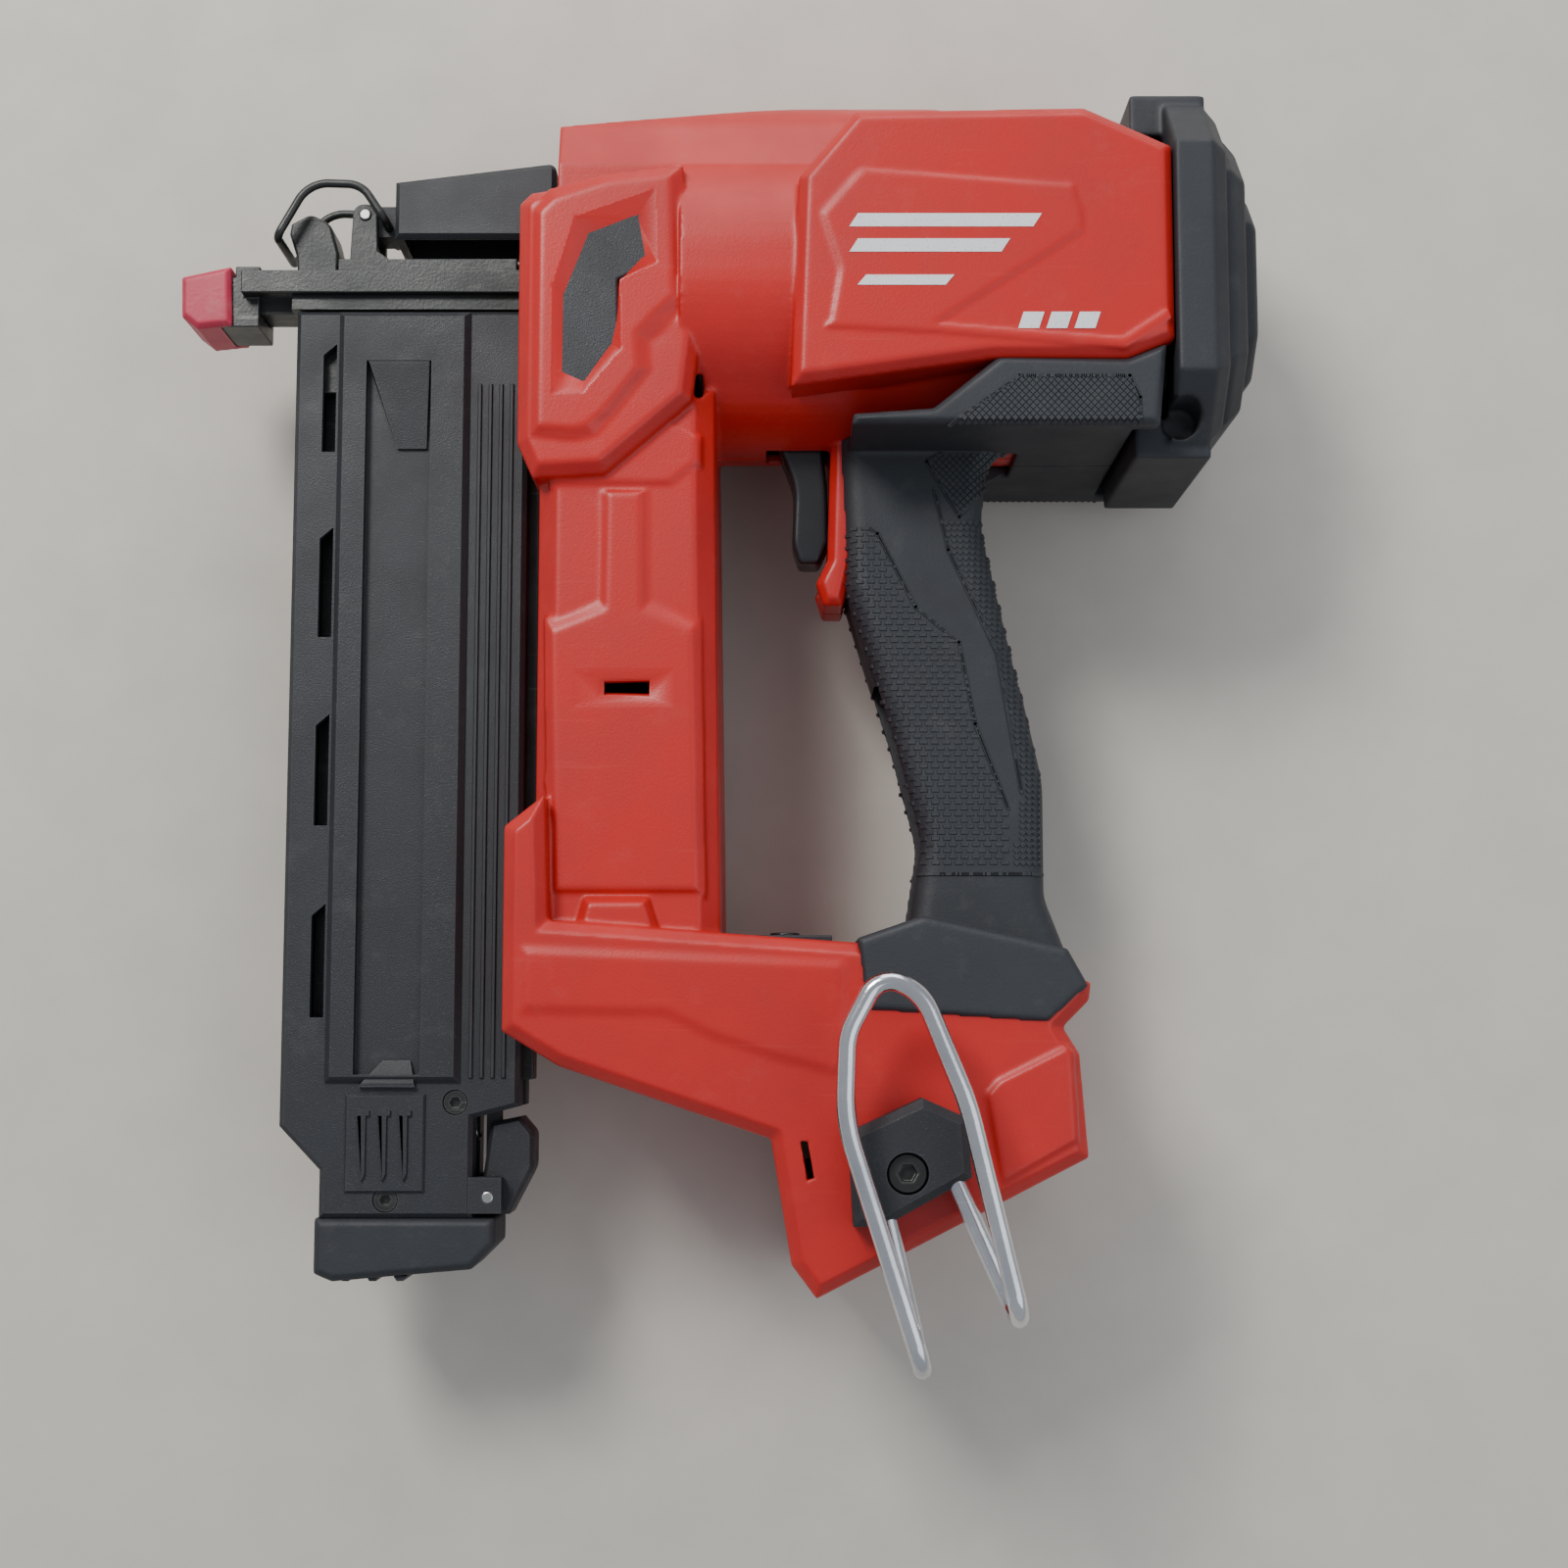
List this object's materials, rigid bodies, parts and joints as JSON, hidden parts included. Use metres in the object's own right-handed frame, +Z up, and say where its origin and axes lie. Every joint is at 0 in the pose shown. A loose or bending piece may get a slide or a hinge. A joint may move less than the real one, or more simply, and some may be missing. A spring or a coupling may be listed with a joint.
{
  "type": "cordless brad nailer",
  "caption": "Battery brad nailer with an angled soft-grip handle, slide-open side magazine, flip-latch nose, rubber rear bumper and wire belt hook, lying on its side.",
  "frame": {"origin": "on the resting surface under the centre of the whole tool's box, the tool lying on its right side", "axes": "+X from the nose towards the rear bumper, +Y from the foot towards the barrel, +Z up out of the tool's left side"},
  "size_m": [0.2824, 0.3242, 0.1098],
  "materials": {
    "housing_red": "moulded nylon, satin with worn corners",
    "grip_rubber": "soft overmould, matte",
    "black_plastic": "speckled glass-filled nylon",
    "gloss_black": "polished",
    "tip_crimson": "soft pad",
    "steel": "machined",
    "dark_steel": "blackened and worn",
    "alloy": "die cast",
    "zinc": "zinc plated",
    "brass": "machined",
    "board_green": "lacquered",
    "sealant": "moulded"
  },
  "bodies": {
    "tool": {"belt_hook": "zinc", "contact_spring": "steel", "control_board": "board_green", "control_panel": "black_plastic", "cylinder_front_plate": "alloy", "cylinder_sleeve": "alloy", "driver_cushion": "sealant", "gas_cylinder": "alloy", "gear_case": "alloy", "grip_left": "grip_rubber", "grip_right": "grip_rubber", "hinge_pins": "steel", "hook_bracket": "black_plastic", "hook_screw": "dark_steel", "housing_left": "housing_red", "housing_right": "housing_red", "housing_screws": "dark_steel", "lifter_bridge": "alloy", "magazine_track": "dark_steel", "motor_bearings": "steel", "motor_stator": "dark_steel", "nose_frame": "dark_steel", "rear_bumper": "grip_rubber", "rear_cap": "black_plastic", "ring_gear": "steel", "side_panels": "black_plastic", "terminal_blades": "brass", "terminal_block": "black_plastic", "threaded_inserts": "brass", "trigger_spring": "steel", "trigger_switch": "black_plastic"},
    "lifter": {"lifter_wheel": "steel", "lifter_pins": "steel", "planet_carrier": "steel"},
    "piston": {"piston": "alloy", "piston_seals": "sealant", "driver_blade": "steel"},
    "rotor": {"motor_rotor": "steel", "sun_gear": "steel", "motor_fan": "black_plastic"},
    "planet_1": {"planet_gear_1": "steel"},
    "planet_2": {"planet_gear_2": "steel"},
    "planet_3": {"planet_gear_3": "steel"},
    "nose_door": {"nose_door": "dark_steel", "lever_pin": "steel"},
    "jam_lever": {"jam_lever": "black_plastic"},
    "bail": {"latch_bail": "dark_steel"},
    "contact": {"contact_arm": "dark_steel", "no_mar_tip": "tip_crimson"},
    "magazine": {"magazine_cover_left": "black_plastic", "magazine_cover_right": "black_plastic", "magazine_screws": "dark_steel", "magazine_foot": "grip_rubber", "latch_pin": "steel", "latch_spring": "steel"},
    "latch": {"magazine_latch": "black_plastic"},
    "pusher": {"nail_pusher": "dark_steel", "pusher_spring": "steel"},
    "trigger": {"trigger": "gloss_black"},
    "mode_button": {"mode_button": "gloss_black"}
  },
  "joints": [
    {"name": "lifter_spin", "type": "hinge", "parent": "tool", "child": "lifter", "pos_m": [-0.02225, 0.11153, 0.02839], "axis": [0, 1, 0], "range_deg": [-327.27, 0]},
    {"name": "piston_stroke", "type": "slide", "parent": "tool", "child": "piston", "axis": [1, 0, 0], "range_m": [-0.0802, 0]},
    {"name": "motor_spin", "type": "hinge", "parent": "tool", "child": "rotor", "pos_m": [-0.02225, 0.11153, 0.02839], "axis": [0, 1, 0], "range_deg": [-1310.09, 0]},
    {"name": "planet_spin_1", "type": "hinge", "parent": "lifter", "child": "planet_1", "pos_m": [-0.02225, 0.11153, 0.03499], "axis": [0, 1, 0], "range_deg": [0, 982.82]},
    {"name": "planet_spin_2", "type": "hinge", "parent": "lifter", "child": "planet_2", "pos_m": [-0.01653, 0.11153, 0.02509], "axis": [0, 1, 0], "range_deg": [0, 982.82]},
    {"name": "planet_spin_3", "type": "hinge", "parent": "lifter", "child": "planet_3", "pos_m": [-0.02797, 0.11153, 0.02509], "axis": [0, 1, 0], "range_deg": [0, 982.82]},
    {"name": "door_open", "type": "hinge", "parent": "tool", "child": "nose_door", "pos_m": [-0.04775, 0.12203, 0.045], "axis": [0, 0, 1], "range_deg": [-40, 0]},
    {"name": "lever_lift", "type": "hinge", "parent": "nose_door", "child": "jam_lever", "pos_m": [-0.09325, 0.13503, 0.045], "axis": [0, 0, 1], "range_deg": [0, 100.5]},
    {"name": "bail_swing", "type": "hinge", "parent": "jam_lever", "child": "bail", "pos_m": [-0.08745, 0.13253, 0.045], "axis": [0, 0, 1], "range_deg": [-120.5, 0]},
    {"name": "contact_press", "type": "slide", "parent": "tool", "child": "contact", "axis": [1, 0, 0], "range_m": [0, 0.0085], "stiffness_N_per_m": 600, "springref_m": -0.006, "deforming": ["contact_spring"]},
    {"name": "magazine_slide", "type": "slide", "parent": "tool", "child": "magazine", "axis": [0, 1, 0], "range_m": [-0.12, 0]},
    {"name": "latch_squeeze", "type": "hinge", "parent": "magazine", "child": "latch", "pos_m": [-0.05675, -0.12347, 0.045], "axis": [0, 0, 1], "range_deg": [0, 10], "stiffness_Nm_per_rad": 0.2, "springref_deg": -5.73, "deforming": ["latch_spring"]},
    {"name": "pusher_slide", "type": "slide", "parent": "magazine", "child": "pusher", "axis": [0, 1, 0], "range_m": [-0.15, 0], "stiffness_N_per_m": 15, "springref_m": 0.2},
    {"name": "trigger_pull", "type": "hinge", "parent": "tool", "child": "trigger", "pos_m": [0.02475, 0.07353, 0.045], "axis": [0, 0, 1], "range_deg": [0, 8], "stiffness_Nm_per_rad": 0.5, "springref_deg": -5.73, "deforming": ["trigger_spring"]},
    {"name": "mode_press", "type": "slide", "parent": "tool", "child": "mode_button", "axis": [0, 1, 0], "range_m": [-0.001, 0], "stiffness_N_per_m": 1500, "springref_m": 0.0005}
  ],
  "couplings": [
    {"joint": "piston_stroke", "follows": "lifter_spin", "m_per_rad": 0.014006},
    {"joint": "motor_spin", "follows": "lifter_spin", "ratio": 4},
    {"joint": "planet_spin_1", "follows": "lifter_spin", "ratio": -3},
    {"joint": "planet_spin_2", "follows": "lifter_spin", "ratio": -3},
    {"joint": "planet_spin_3", "follows": "lifter_spin", "ratio": -3},
    {"joint": "lever_lift", "follows": "door_open", "ratio": -2.5},
    {"joint": "bail_swing", "follows": "door_open", "ratio": 3}
  ]
}
